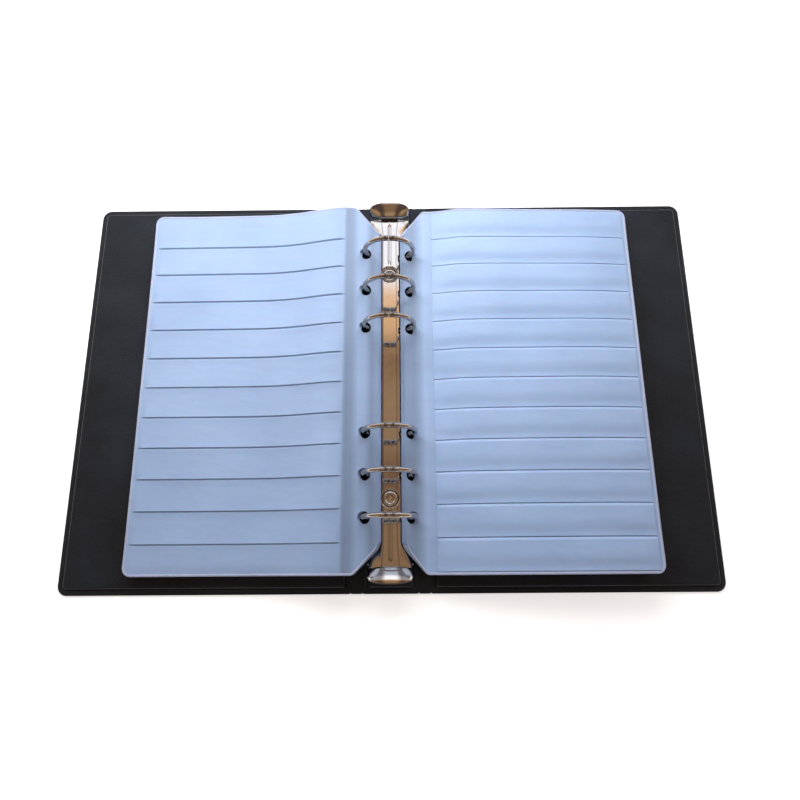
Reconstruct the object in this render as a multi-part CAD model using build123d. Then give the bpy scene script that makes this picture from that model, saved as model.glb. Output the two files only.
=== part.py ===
from build123d import *
import math
import os

# Coin album, open flat. X runs across the open cover, Y along the spine, Z up. Millimetres.
# The origin is on the resting face, under the middle of the spine.

# How far a cutting shape reaches past the face it cuts
PAST = 1.0

# Cover
COVER_WIDTH = 298.0
COVER_HEIGHT = 192.0
COVER_CORNER = 4.5
SMALLEST_CORNER = 1.0
SKIN = 0.4
BOARD = 1.6
LINER = 0.4
WELD_RIM = 3.0
COVER_TOP = SKIN + BOARD + LINER
HINGE_X = 15.2
HINGE_GAP = 5.0
WEB = 0.7
SPINE_HALF = HINGE_X - HINGE_GAP / 2
PANEL_START = HINGE_X + HINGE_GAP / 2

# Rings
RING_YS = (-63.5, -44.45, -25.4, 25.4, 44.45, 63.5)
RING_RADIUS = 11.55
WIRE = 1.3
RING_Z = COVER_TOP + 15.0
RING_JOINT_GAP = 0.03
STUB_X = 4.6
STUB_RADIUS = 1.0

# Ring housing, the long pressed cover of the mechanism
HOUSING_LENGTH = 169.6
HOUSING_RISE = 6.5
HOUSING_TOP = COVER_TOP + HOUSING_RISE
HOUSING_WALL = 0.8
FOOT_HALF = 7.6
SHOULDER_HALF = 4.6
FLAT_HALF = 3.9
SHOULDER_DROP = 0.5
KNEE_RISE = 4.2
FLARE_LENGTH = 11.0
FLARE = 2.4
SHOULDER_FLARE = 0.72
SLOT_LENGTH = 4.5
SLOT_FROM_X = 3.6
SLOT_LOW = COVER_TOP + 3.2
SLOT_HIGH = HOUSING_TOP - 0.4
SLOT_ROUND = (SLOT_HIGH - SLOT_LOW) / 2 - 0.05

# How far the housing's corners move in from the outside to the inside of its sheet
SHOULDER_INSET = 0.72
FLAT_INSET = 0.48
KNEE_INSET = 0.24

# Eyelets that rivet the housing to the spine
EYELET_Y = 54.6
EYELET_TUBE = 2.3
EYELET_BORE = 1.6
EYELET_HEAD = 3.4
EYELET_FOOT = 4.0
DIMPLE = 4.1
DIMPLE_DEPTH = 1.4
CUP_WALL = 0.5
EYELET_HEAD_THICK = 0.8
EYELET_HEAD_ROUND = 0.5

# Toggle plates inside the housing, hinged along their outer edges
TOGGLE_Z = COVER_TOP + 2.7
TOGGLE_THICK = 1.0
TOGGLE_OUTER = 6.25
TOGGLE_INNER = 0.15
TOGGLE_HALF_LENGTH = 80.5
EYELET_NOTCH = 3.1

# Thumb levers at both ends
LEVER_Y = 83.0
LEVER_Z = COVER_TOP + 3.0
LEVER_PIN = 0.9
LEVER_BORE = 0.95
LEVER_PIN_REACH = 10.26
LEVER_KNUCKLE = 1.7
LEVER_HALF = 4.8
ARM_HALF = 4.6
ARM_THICK = 1.3
TAB_HALF = 9.85
TAB_MIDDLE = 5.8
TAB_LENGTH = 6.4
TAB_CORNER = 3.0
TONGUE_HALF = 1.5
TONGUE_THICK = 0.8

# Corners of a lever seen from its side, as (distance beyond the pin, height above it)
ELBOW = (3.1, 1.2)
NECK = (3.4, 4.9)
RIM = (8.2, 7.6)
TONGUE_TIP = (-3.2, -1.6)
TONGUE_ROOT = (-0.5, -1.3)

# Pages
PAGE_HALF_HEIGHT = 88.0
PAGE_OUTER = 117.8
PAGE_CORNER = 4.0
CHAMFER_X = 16.2
CHAMFER_Y = 76.0
CHAMFER_ROUND = 6.0
SHEET = 0.3
POCKET_GAP = 0.3
POCKET_FILM = 0.25
PAGE_HOLE = 3.1
HOLE_OFFSET = 1.2
STRIPS = 12
STRIP_PITCH = 14.45
STRIP_HEIGHT = 13.9
STRIP_SEAM_X = 20.8
STRIP_WELD = 1.5
STRIP_OVERLAP = 0.3
POCKET_BITE = 0.2
HOLE_TRIES = 40
PROFILE_START = 2.0
PROFILE_STEPS = 11
PROFILE_CROWDING = 1.6

# Heights of the undersides of the lowest and highest page of each stack, as (distance from the
# spine, height above the cover's lining). The pages between them are spread evenly.
LEFT_LOW = ((2, 6.4), (10.8, 8.3), (16, 8.7), (21, 8.5), (30, 5.4), (40, 2.3), (55, 0.5), (70, 0.2), (118, 0.2))
LEFT_HIGH = ((2, 7.6), (10.8, 10.1), (16, 11.8), (21, 12.7), (26, 12.3), (34, 10.4), (46, 7.2), (62, 5.1), (118, 4.4))
RIGHT_LOW = ((2, 6.95), (8, 6.1), (14, 4.6), (20, 3.2), (30, 1.6), (45, 0.5), (60, 0.2), (118, 0.2))
RIGHT_HIGH = ((2, 9.0), (8, 8.2), (14, 8.0), (20, 7.8), (26, 8.6), (34, 10.4), (60, 11.3), (95, 11.1), (118, 9.0))
LEFT_PAGES = 4
RIGHT_PAGES = 6
LEFT_EDGE = 7.1
RIGHT_EDGE = 4.1


def save(shape, name):
    solids = shape.solids()
    piece = solids[0] if len(solids) == 1 else Compound(children=list(solids))
    export_step(piece, f"parts/{name}.step")


def block(x0, x1, y0, y1, z0, z1):
    size = Box(x1 - x0, y1 - y0, z1 - z0)
    return Pos((x0 + x1) / 2, (y0 + y1) / 2, (z0 + z1) / 2) * size


def rod(radius, x, y, z0, z1):
    return Pos(x, y, (z0 + z1) / 2) * Cylinder(radius, z1 - z0)


def both_sides(shape):
    return shape + mirror(shape, about=Plane.YZ)


# ---------------------------------------------------------------- cover


def panel_outline(inner, outer, inset):
    """A cover panel seen from above: square along the spine, rounded on the outside."""
    half = COVER_HEIGHT / 2 - inset
    x0 = inner + inset
    x1 = outer - inset
    face = make_face(Polyline((x0, -half), (x1, -half), (x1, half), (x0, half), close=True))
    corners = face.vertices().sort_by(Axis.X)[-2:]
    return fillet(corners, max(COVER_CORNER - inset, SMALLEST_CORNER))


def spine_outline(inset):
    return Rectangle(2 * (SPINE_HALF - inset), COVER_HEIGHT - 2 * inset)


def skin_of(outline):
    return extrude(outline(0), SKIN)


def board_of(outline):
    return Pos(0, 0, SKIN) * extrude(outline(WELD_RIM), BOARD)


def liner_of(outline):
    """The lining lies over the board and comes down to a welded rim around it."""
    rim = Pos(0, 0, SKIN) * extrude(outline(0), LINER)
    over = Pos(0, 0, SKIN) * extrude(outline(WELD_RIM - LINER), BOARD + LINER)
    return rim + over - board_of(outline)


def eyelet_places(shape):
    return [Pos(0, y, 0) * shape for y in (-EYELET_Y, EYELET_Y)]


def make_cover():
    def panel(inset):
        return panel_outline(PANEL_START, COVER_WIDTH / 2, inset)

    pieces = {"skin": skin_of(panel), "board": board_of(panel), "liner": liner_of(panel)}
    for name, shape in pieces.items():
        save(shape, f"right_cover_{name}")
        save(mirror(shape, about=Plane.YZ), f"left_cover_{name}")

    foot_holes = Sketch() + eyelet_places(Circle(EYELET_FOOT))
    tube_holes = Sketch() + eyelet_places(Circle(EYELET_TUBE))
    save(skin_of(spine_outline) - extrude(foot_holes, SKIN), "spine_skin")
    through = extrude(tube_holes, COVER_TOP)
    save(board_of(spine_outline) - through, "spine_board")
    save(liner_of(spine_outline) - through, "spine_liner")

    half = COVER_HEIGHT / 2
    web = block(SPINE_HALF, PANEL_START, -half, half, 0, WEB)
    save(web, "right_hinge_web")
    save(mirror(web, about=Plane.YZ), "left_hinge_web")


# ---------------------------------------------------------------- ring mechanism


def housing_section(flared, inside):
    """The housing's outside seen from its end, or its inside."""
    foot = FOOT_HALF + flared * FLARE - inside * HOUSING_WALL
    shoulder = SHOULDER_HALF + flared * SHOULDER_FLARE - inside * SHOULDER_INSET
    flat = FLAT_HALF + flared * SHOULDER_FLARE - inside * FLAT_INSET
    top = HOUSING_TOP - inside * HOUSING_WALL
    knee = COVER_TOP + KNEE_RISE - inside * KNEE_INSET
    right = [(foot, COVER_TOP), (foot, knee), (shoulder, top - SHOULDER_DROP), (flat, top)]
    left = [(-x, z) for x, z in reversed(right)]
    return make_face(Polyline(*right, *left, close=True))


def section_at(y, flared, inside):
    plane = Plane(origin=(0, y, 0), x_dir=(1, 0, 0), z_dir=(0, -1, 0))
    return plane * housing_section(flared, inside)


def housing_body(inside):
    """The straight middle and the flared ends. The inside is open past both ends."""
    end = HOUSING_LENGTH / 2
    start = end - FLARE_LENGTH
    middle = extrude(section_at(start, False, inside), 2 * start)
    flare = loft([section_at(start, False, inside), section_at(end, True, inside)], ruled=True)
    body = middle + flare + mirror(flare, about=Plane.XZ)
    if inside:
        cap = extrude(section_at(end + PAST, True, inside), PAST)
        body = body + cap + mirror(cap, about=Plane.XZ)
    return body


def ring_slots():
    face = RectangleRounded(SLOT_LENGTH, SLOT_HIGH - SLOT_LOW, SLOT_ROUND)
    middle = (SLOT_HIGH + SLOT_LOW) / 2
    plane = Plane(origin=(SLOT_FROM_X, 0, middle), x_dir=(0, 1, 0), z_dir=(1, 0, 0))
    slot = extrude(plane * face, FOOT_HALF + PAST - SLOT_FROM_X)
    one_side = Part() + [Pos(0, y, 0) * slot for y in RING_YS]
    return both_sides(one_side)


def pin_line(radius, length, y):
    return Pos(0, y, LEVER_Z) * Rot(0, 90, 0) * Cylinder(radius, length)


def make_housing():
    outside = housing_body(False)
    dimple_floor = HOUSING_TOP - DIMPLE_DEPTH
    cup = rod(DIMPLE + CUP_WALL, 0, 0, dimple_floor - HOUSING_WALL, HOUSING_TOP)
    cups = outside & (Part() + eyelet_places(cup))
    hollow = rod(DIMPLE, 0, 0, dimple_floor, HOUSING_TOP + PAST)
    hole = rod(EYELET_TUBE, 0, 0, 0, HOUSING_TOP + PAST)
    housing = outside - housing_body(True) + cups
    housing -= Part() + eyelet_places(hollow + hole)
    housing -= ring_slots()
    for y in (-LEVER_Y, LEVER_Y):
        housing -= pin_line(LEVER_PIN, 3 * FOOT_HALF, y)
    save(housing, "ring_housing")

    for name, y in (("lower_lever_pin", -LEVER_Y), ("upper_lever_pin", LEVER_Y)):
        save(pin_line(LEVER_PIN, 2 * LEVER_PIN_REACH, y), name)

    foot = rod(EYELET_FOOT, 0, 0, 0, SKIN)
    tube = rod(EYELET_TUBE, 0, 0, 0, dimple_floor)
    head = rod(EYELET_HEAD, 0, 0, dimple_floor, dimple_floor + EYELET_HEAD_THICK)
    head = fillet(head.edges().sort_by(Axis.Z)[-1], EYELET_HEAD_ROUND)
    eyelet = foot + tube + head - rod(EYELET_BORE, 0, 0, -PAST, HOUSING_TOP)
    for name, y in (("lower_eyelet", -EYELET_Y), ("upper_eyelet", EYELET_Y)):
        save(Pos(0, y, 0) * eyelet, name)


def half_ring(y):
    """The right half of one ring: an arc from the joint at the top to a stub in the toggle plate."""
    end_z = RING_Z - math.sqrt(RING_RADIUS**2 - STUB_X**2)
    sweep_angle = 90 + math.degrees(math.acos(STUB_X / RING_RADIUS))
    at_top = Plane(origin=(0, y, RING_Z + RING_RADIUS), x_dir=(0, 1, 0), z_dir=(1, 0, 0))
    axis = Axis((0, y, RING_Z), (0, 1, 0))
    arc = revolve(at_top * Circle(WIRE), axis, sweep_angle)
    around = 2 * WIRE
    arc -= block(-WIRE, RING_JOINT_GAP, y - around, y + around, RING_Z, RING_Z + RING_RADIUS + around)
    knob = Pos(STUB_X, y, end_z) * Sphere(WIRE)
    stub = rod(STUB_RADIUS, STUB_X, y, TOGGLE_Z - TOGGLE_THICK / 2, end_z)
    return arc + knob + stub


def make_rings():
    low = TOGGLE_Z - TOGGLE_THICK / 2
    high = TOGGLE_Z + TOGGLE_THICK / 2
    half = TOGGLE_HALF_LENGTH
    toggle = block(TOGGLE_INNER, TOGGLE_OUTER, -half, half, low, high)
    toggle -= Part() + eyelet_places(rod(EYELET_NOTCH, 0, 0, low - PAST, high + PAST))
    toggle -= Part() + [rod(STUB_RADIUS, STUB_X, y, low - PAST, high + PAST) for y in RING_YS]
    save(toggle, "right_toggle_plate")
    save(mirror(toggle, about=Plane.YZ), "left_toggle_plate")
    for number, y in enumerate(RING_YS, start=1):
        ring = half_ring(y)
        save(ring, f"right_half_ring_{number}")
        save(mirror(ring, about=Plane.YZ), f"left_half_ring_{number}")


def bar(start, end, thick):
    """A flat bar seen edge on, with round ends."""
    length = math.dist(start, end)
    angle = math.degrees(math.atan2(end[1] - start[1], end[0] - start[0]))
    middle = Pos((start[0] + end[0]) / 2, (start[1] + end[1]) / 2)
    return middle * Rot(0, 0, angle) * SlotCenterToCenter(length, thick)


def side_extrude(face, half):
    """Turns a face drawn in Y and Z into a solid across X."""
    plane = Plane(origin=(-half, 0, 0), x_dir=(0, 1, 0), z_dir=(1, 0, 0))
    return extrude(plane * face, 2 * half)


def make_levers():
    pivot = (0, 0)
    knuckle = side_extrude(Circle(LEVER_KNUCKLE), LEVER_HALF)
    arm = side_extrude(bar(pivot, ELBOW, ARM_THICK) + bar(ELBOW, NECK, ARM_THICK), ARM_HALF)
    tab = side_extrude(bar(NECK, RIM, ARM_THICK), TAB_HALF)
    plan = Pos(0, TAB_MIDDLE, 0) * RectangleRounded(2 * TAB_HALF, TAB_LENGTH, TAB_CORNER)
    tab = tab & extrude(plan, RING_Z)
    neck_link = side_extrude(bar(NECK, RIM, ARM_THICK), ARM_HALF)
    tongue = side_extrude(bar(TONGUE_TIP, TONGUE_ROOT, TONGUE_THICK), TONGUE_HALF)
    lever = Pos(0, LEVER_Y, LEVER_Z) * (knuckle + arm + neck_link + tab + tongue)
    lever -= pin_line(LEVER_BORE, 3 * LEVER_HALF, LEVER_Y)
    save(lever, "upper_lever")
    save(mirror(lever, about=Plane.XZ), "lower_lever")


# ---------------------------------------------------------------- pages


def smooth_height(stations, x):
    """A smooth curve through a few stations, each (distance, height)."""
    last = len(stations) - 1

    def slope(i):
        before = stations[max(i - 1, 0)]
        after = stations[min(i + 1, last)]
        return (after[1] - before[1]) / (after[0] - before[0])

    i = max(k for k in range(last) if stations[k][0] <= x or k == 0)
    x0, z0 = stations[i]
    x1, z1 = stations[i + 1]
    span = x1 - x0
    t = (x - x0) / span
    rise = (3 - 2 * t) * t * t
    bend_in = t * (1 - t) ** 2 * span * slope(i)
    bend_out = t * t * (t - 1) * span * slope(i + 1)
    return z0 + (z1 - z0) * rise + bend_in + bend_out


def page_height(stack, level, x):
    low, high = stack
    z_low = smooth_height(low, x)
    z_high = smooth_height(high, x)
    return COVER_TOP + z_low + (z_high - z_low) * level


def profile_xs():
    """Stations along the page, closer together where it bends near the rings."""
    reach = PAGE_OUTER - PROFILE_START
    shares = [(k / PROFILE_STEPS) ** PROFILE_CROWDING for k in range(PROFILE_STEPS + 1)]
    return [PROFILE_START + reach * share for share in shares]


def band(stack, level, low, high):
    """The space between two heights above a page's underside, over the whole page."""
    points = [(x, page_height(stack, level, x)) for x in profile_xs()]
    under = [(x, z + low) for x, z in points]
    over = [(x, z + high) for x, z in reversed(points)]
    face = make_face(Polyline(*under, *over, close=True))
    plane = Plane(origin=(0, PAGE_HALF_HEIGHT + PAST, 0), x_dir=(1, 0, 0), z_dir=(0, -1, 0))
    return extrude(plane * face, 2 * (PAGE_HALF_HEIGHT + PAST))


def hole_x(stack, level, sheet_low):
    """Where the ring wire crosses a sheet, plus the play towards the outside."""
    x = RING_RADIUS
    for _ in range(HOLE_TRIES):
        drop = RING_Z - page_height(stack, level, x) - sheet_low
        x = math.sqrt(RING_RADIUS**2 - drop**2)
    return x + HOLE_OFFSET


def page_outline(spine_edge, holes_at):
    top = PAGE_HALF_HEIGHT
    right_side = [(CHAMFER_X, -top), (PAGE_OUTER, -top), (PAGE_OUTER, top), (CHAMFER_X, top)]
    spine_side = [(spine_edge, CHAMFER_Y), (spine_edge, -CHAMFER_Y)]
    face = make_face(Polyline(*right_side, *spine_side, close=True))
    by_x = face.vertices().sort_by(Axis.X)
    face = fillet(by_x[:4], CHAMFER_ROUND)
    face = fillet(face.vertices().sort_by(Axis.X)[-2:], PAGE_CORNER)
    holes = Sketch() + [Pos(holes_at, y) * Circle(PAGE_HOLE) for y in RING_YS]
    return face - holes


def strip_low(number):
    return -STRIPS * STRIP_PITCH / 2 + number * STRIP_PITCH + (STRIP_PITCH - STRIP_HEIGHT) / 2


def strip_prisms(inset, past_top, tall):
    """One upright prism over each pocket strip, or over its inside when inset."""
    x0 = STRIP_SEAM_X + inset
    x1 = PAGE_OUTER - STRIP_WELD + STRIP_OVERLAP - inset
    prisms = []
    for number in range(STRIPS):
        y0 = strip_low(number)
        prisms.append(block(x0, x1, y0 + inset, y0 + STRIP_HEIGHT + past_top, 0, tall))
    return Part() + prisms


def make_page(stack, level, edge, turned, name):
    """One page. The strips are on its front, which faces down on a page turned to the left."""
    tall = RING_Z + RING_RADIUS
    strips_thick = POCKET_GAP + POCKET_FILM
    sheet_low = strips_thick if turned else 0
    strips_low = 0 if turned else SHEET
    hollow_low = POCKET_FILM if turned else SHEET - POCKET_BITE
    holes_at = hole_x(stack, level, sheet_low)
    outline = page_outline(holes_at - edge, holes_at)
    sheet = band(stack, level, sheet_low, sheet_low + SHEET) & extrude(outline, tall)
    pockets = band(stack, level, strips_low, strips_low + strips_thick) & strip_prisms(0, 0, tall)
    hollow = band(stack, level, hollow_low, hollow_low + POCKET_GAP + POCKET_BITE)
    pockets -= hollow & strip_prisms(STRIP_WELD, PAST, tall)
    if turned:
        sheet = mirror(sheet, about=Plane.YZ)
        pockets = mirror(pockets, about=Plane.YZ)
    save(sheet, f"{name}_sheet")
    save(pockets, f"{name}_pockets")


def make_pages():
    for number in range(LEFT_PAGES):
        level = number / (LEFT_PAGES - 1)
        make_page((LEFT_LOW, LEFT_HIGH), level, LEFT_EDGE, True, f"left_page_{number + 1}")
    for number in range(RIGHT_PAGES):
        level = number / (RIGHT_PAGES - 1)
        make_page((RIGHT_LOW, RIGHT_HIGH), level, RIGHT_EDGE, False, f"right_page_{number + 1}")


os.makedirs("parts", exist_ok=True)
make_cover()
make_housing()
make_rings()
make_levers()
make_pages()
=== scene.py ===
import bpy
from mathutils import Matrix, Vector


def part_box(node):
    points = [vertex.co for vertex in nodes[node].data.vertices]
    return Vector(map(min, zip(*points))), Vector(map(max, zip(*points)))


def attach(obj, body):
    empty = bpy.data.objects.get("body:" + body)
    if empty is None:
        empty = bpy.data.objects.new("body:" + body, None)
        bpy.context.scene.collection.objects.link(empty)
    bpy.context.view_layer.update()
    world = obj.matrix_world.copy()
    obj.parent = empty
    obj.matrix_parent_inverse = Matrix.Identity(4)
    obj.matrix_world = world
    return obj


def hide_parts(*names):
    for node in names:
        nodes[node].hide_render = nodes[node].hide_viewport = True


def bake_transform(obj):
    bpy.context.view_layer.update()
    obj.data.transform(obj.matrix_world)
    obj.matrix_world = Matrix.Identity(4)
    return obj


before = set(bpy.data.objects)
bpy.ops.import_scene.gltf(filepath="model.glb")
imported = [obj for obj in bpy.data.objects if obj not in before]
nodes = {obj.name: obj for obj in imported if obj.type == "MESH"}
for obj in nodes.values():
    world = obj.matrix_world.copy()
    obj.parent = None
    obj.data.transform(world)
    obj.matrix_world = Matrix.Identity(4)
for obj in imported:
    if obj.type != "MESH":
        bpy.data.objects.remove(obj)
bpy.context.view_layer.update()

import math

import bmesh
import bpy
from mathutils import Matrix, Vector, noise

# Lengths below are in millimetres and are turned into metres where a mesh is made.
MM = 0.001

scene = bpy.context.scene


def node_box(name):
    low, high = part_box(name)
    return [c / MM for c in low], [c / MM for c in high]


def middle_y(name):
    low, high = node_box(name)
    return (low[1] + high[1]) / 2


# -------- sizes read from the frame

RING_COUNT = 6
LEFT_PAGES = 4
RIGHT_PAGES = 6

cover_low, cover_high = node_box("right_cover_skin")
ring_low, ring_high = node_box("right_half_ring_1")
pin_low, pin_high = node_box("upper_lever_pin")
spine_high = node_box("spine_skin")[1]
lining_high = node_box("right_cover_liner")[1]
housing_high = node_box("ring_housing")[1]

COVER_TOP = lining_high[2]
COVER_OUTER = cover_high[0]
COVER_HALF = cover_high[1]
PANEL_START = cover_low[0]
SPINE_HALF = spine_high[0]
SKIN = cover_high[2]
WIRE = (ring_high[1] - ring_low[1]) / 2
RING_RADIUS = ring_high[0] - WIRE
RING_Z = ring_high[2] - WIRE - RING_RADIUS
RING_YS = [middle_y(f"right_half_ring_{k}") for k in range(1, RING_COUNT + 1)]
HOUSING_END = housing_high[1]
HOUSING_TOP = housing_high[2]
EYELET_Y = middle_y("upper_eyelet")
LEVER_Y = middle_y("upper_lever_pin")
LEVER_Z = (pin_low[2] + pin_high[2]) / 2
PIN_REACH = pin_high[0]

# -------- sizes of the cover

COVER_CORNER = 4.5
PANEL_CORNER = 1.0
EDGE_THICK = 0.8
EDGE_ROUND = 0.28
EDGE_REACH = 0.5
WELD_LINE = 2.3
WELD_DEPTH = 0.13
WELD_HALF = 0.28
LINING = 0.4
LINING_GAP = 0.02
BOARD_RISE = 1.1
UNDER_DELAY = 0.3
UNDER_RISE = 0.9
# How much of the inside's rounding and weld also shows on the outside.
OUTSIDE_ROUND = 0.8
OUTSIDE_WELD = 0.7
COVER_WAVE = 0.16
COVER_WAVE_LENGTHS = (46, 52)
COVER_SAMPLE = 3.1
WAVE_FADE = 12
WAVE_DELAY = 0.3
# Distances from a panel's edge where its grid is closer, for the rounding and the weld.
EDGE_STEPS = [0, 0.12, 0.3, 0.6, 1.0, 1.5, 1.9, 2.1, 2.3, 2.5, 2.7, 2.95, 3.2, 3.5, 3.9, 4.5]
PANEL_STEP = 3
PANEL_ROWS = 64

HINGE_OVERLAP = 0.04
HINGE_SHORT = 0.02
HINGE_DROP = 0.06
HINGE_LIFT = 0.01
HINGE_DIP = 0.16
HINGE_END_ROUND = 0.25
CREASE_DEPTH = 0.1
CREASE_WIDTH = 0.16
UNDER_DIP = 0.4
UNDER_END = 0.6

# -------- sizes of the ring mechanism

# The housing's section: heights of its upright foot, then steps (sideways, height) round the knee
# above it, then steps (sideways, down from the top) round the shoulder.
FOOT_HALF = 7.6
FOOT_HEIGHTS = (0.0, 0.5, 1.2, 2.0)
KNEE = [(0.0, 3.6), (-0.18, 4.3), (-0.6, 4.95), (-1.0, 5.3)]
SHOULDER_HALF = 4.2
SHOULDER_TURN = [(0.0, -0.3), (-0.14, -0.24), (-0.3, -0.16), (-0.56, -0.07), (-0.9, -0.02)]
SHOULDER_FLARE = 0.3
FLAT_INSET = 0.3
FLARE_LENGTH = 11.0
FLARE = 2.3
FLARE_POWER = 1.1
METAL = 0.7
SHEET_EDGE = 0.1
CROWN = 0.08
CROWN_HALF = 4.0
TOP_BAND = 0.8
DIMPLE = 4.05
DIMPLE_DEPTH = 1.4
DIMPLE_RIM = 0.25
DIMPLE_SLOPE = 0.8
DIMPLE_SPAN = 5.0
RIB_DEPTH = 0.16
RIB_HALF = 1.1
RIB_START = 58.5
RIB_FADE = 3.0
RIB_END_GAP = 1.5
SLOT_LOW = 3.35
SLOT_TOP_GAP = 0.32
SLOT_HALF_LENGTH = 2.25
SLOT_REACH = (3.7, 9.5)

# Half rings. The angles, in radians, run down from the joint at the top.
JOINT_GAP = 0.006
JOINT_CHAMFER = 0.16
CHAMFER_ANGLE = 0.022
JOINT_END = 0.04
COLLAR_END = 0.44
COLLAR_FADE = 0.1
COLLAR_RUN = 0.46
WIRE_SHARE = 0.87
ELBOW_SHARE = 0.9
STUB_X = 4.6
STUB_RADIUS = 1.0
STUB_BOTTOM = COVER_TOP + 2.3

# Eyelets: (radius, height) up round the rolled foot, then (radius, height above the dimple's floor)
# over the rolled head.
EYELET_FOOT = [(1.6, 1.2), (0.05, 1.1), (0.05, 0.12), (1.9, 0.08), (3.6, 0.02)]
EYELET_FOOT += [(3.95, 0.12), (4.0, 0.32), (3.8, 0.4), (2.3, 0.42)]
EYELET_HEAD = [(2.3, 0.0), (3.2, 0.0), (3.42, 0.2), (3.38, 0.45), (3.15, 0.68), (2.75, 0.8)]
EYELET_HEAD += [(2.3, 0.78), (1.9, 0.6), (1.68, 0.3), (1.6, -0.1)]
FOOT_HOLE = 4.05
TUBE_HOLE = 2.34
HOUSING_HOLE = 2.35

PIN_HOLE = 0.92
PIN_RADIUS = 0.9
PIN_SHANK = 1.2
# The pin's domed ends: (radius, distance back from the tip).
PIN_DOME = [(0.15, 0.02), (0.5, 0.1), (0.8, 0.3), (0.9, 0.55)]

PAD_HALF = 9.7
PAD_MIDDLE = 5.0
PAD_BOW = 0.1
PAD_END_LENGTH = 1.0
PAD_BULGE = 6.2
PAD_ROUNDNESS = 3.0
PAD_HEIGHT = 5.4
PAD_RISE = 2.6
PAD_RISE_POWER = 1.8
PAD_DROOP = 1.5
PAD_DROOP_FALL = 0.5
PAD_HALF_THICK = 0.6
PAD_THINNING = 0.6
KNUCKLE_RADIUS = 1.7
KNUCKLE_HALF = 4.8
LEVER_BORE = 0.95
BORE_HALF = 6
# Bars of the lever: (distance from the pin, height over it) along each, half width and thickness.
ARM = [(0.6, 0.2), (1.9, 0.8), (3.0, 1.55), (3.3, 3.0), (3.6, 6.6)]
ARM_HALF = 4.6
ARM_THICK = 1.25
TONGUE = [(-3.2, -1.6), (-0.5, -1.3)]
TONGUE_HALF = 1.5
TONGUE_THICK = 0.8

# -------- sizes of the pages

PAGE_HALF = 88.0
PAGE_CORNER = 4.0
CHAMFER_X = 16.2
CHAMFER_Y = 76.0
CHAMFER_SOFT = 1.1
SPINE_ROUND = 3.0
SPINE_ROUND_SHARE = 0.8
SHEET = 0.3
FILM = 0.25
STRIPS_THICK = 0.55
PAGE_HOLE = 2.8
# From the CAD sheet's spine edge to the middle of the holes, and to the edge made here.
LEFT_HOLE_MARGIN = 6.8
RIGHT_HOLE_MARGIN = 3.8
LEFT_TRIM = 0.3
RIGHT_TRIM = 0.6
STRIPS = 12
PITCH = 14.45
STRIP_HEIGHT = 13.9
SEAM_X = 20.8
SEAM_WELD = 0.6
SEAM_DIP = 0.1
SEAM_HALF = 0.35
BORDER = 1.5
TURNED_SHIFT = 2.3
PAGE_REACH = 120.0

PAGE_WAVE = 0.45
PAGE_WAVE_LENGTHS = (52, 60)
PAGE_SAMPLE = 5.0
LOOSE_FROM = 26
LOOSE_OVER = 50
CURL = 0.5
CURL_REACH = 26
LOWEST_LIFT = -0.35
LEAN = -2.4
LEAN_OVER = 60

# Steps that the strips under a turned page press through it.
LIP = 0.04
LIP_HEIGHT = 0.3
TOP_LIP_HEIGHT = 0.72
LIP_FALL = 2.2
HOLLOW = 0.14
ROW_SHARES = [0.0, 0.013, 0.027, LIP, 0.06, 0.1, 0.2, 0.32, 0.45, 0.58, 0.7, 0.8, 0.87, 0.93, 0.985]

# Pocket film on the pages that lie face up.
POCKET_FULL = 0.85
POCKET_SPARE = 0.25
POCKET_GAP = 0.06
POCKET_WAVE_LENGTHS = (30, 16)
POCKET_SAMPLE = 1.7
POCKET_US = [0, 0.008, 0.018, 0.03, 0.045]
POCKET_END_US = [0.96, 0.975, 0.988, 1.0]
POCKET_VS = [0.0, 0.02, 0.04, 0.07, 0.12, 0.2, 0.3, 0.42, 0.55, 0.67, 0.77, 0.85, 0.9]
POCKET_VS += [0.93, 0.955, 0.98, 1.0]

# The welded border's section: (distance in from the page's edge, height over the sheet).
BORDER_SECTION = [(0.05, 0.02), (0.15, 0.12), (0.35, 0.18), (0.75, 0.18), (0.95, 0.1), (1.1, 0.0)]
BORDER_SINK = 0.08

# How light the vinyl is by its distance from the spine: the clear margin, darker partly as the dark cover
# shows through it and partly as painted shade; a painted highlight along the fold's ridge; then the
# pockets.
LEFT_TONES_AND_PAINTED_LIGHT = [(3.6, 1.0), (5.5, 0.78), (8.5, 0.66), (11.5, 0.98), (14.5, 1.0)]
LEFT_TONES_AND_PAINTED_LIGHT += [(17.5, 0.66), (20.5, 0.6), (22.0, 0.92), (30, 1.0)]
RIGHT_TONES_AND_PAINTED_LIGHT = [(6.5, 0.72), (11.5, 0.68), (13.5, 0.8), (16.5, 1.08), (20.0, 1.0), (30.0, 1.0)]

# Undersides of the lowest and highest page of each stack: (distance from the spine, height above
# the cover's lining). The other pages are spread evenly between them.
LEFT_LOW = [(2, 6.4), (10.8, 8.3), (16, 8.7), (21, 8.5), (30, 5.4), (40, 2.3), (55, 0.5)]
LEFT_LOW += [(70, 0.2), (118, 0.2)]
LEFT_HIGH = [(2, 7.6), (10.8, 10.1), (16, 11.8), (21, 12.7), (26, 12.3), (34, 10.4)]
LEFT_HIGH += [(46, 7.2), (62, 5.1), (118, 4.4)]
RIGHT_LOW = [(2, 6.95), (8, 6.1), (14, 4.6), (20, 3.2), (30, 1.6), (45, 0.5), (60, 0.2), (118, 0.2)]
RIGHT_HIGH = [(2, 9.0), (8, 8.2), (14, 8.0), (20, 7.8), (26, 8.6), (34, 10.4), (60, 11.3)]
RIGHT_HIGH += [(95, 11.1), (118, 9.0)]

# Edges sharper than this stay sharp when a mesh is smoothed.
SHARP_ANGLE = math.radians(38)


# -------- small tools


def smoothstep(t):
    t = min(max(t, 0.0), 1.0)
    return t * t * (3 - 2 * t)


def spread(start, end, count):
    return [start + (end - start) * k / (count - 1) for k in range(count)]


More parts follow.
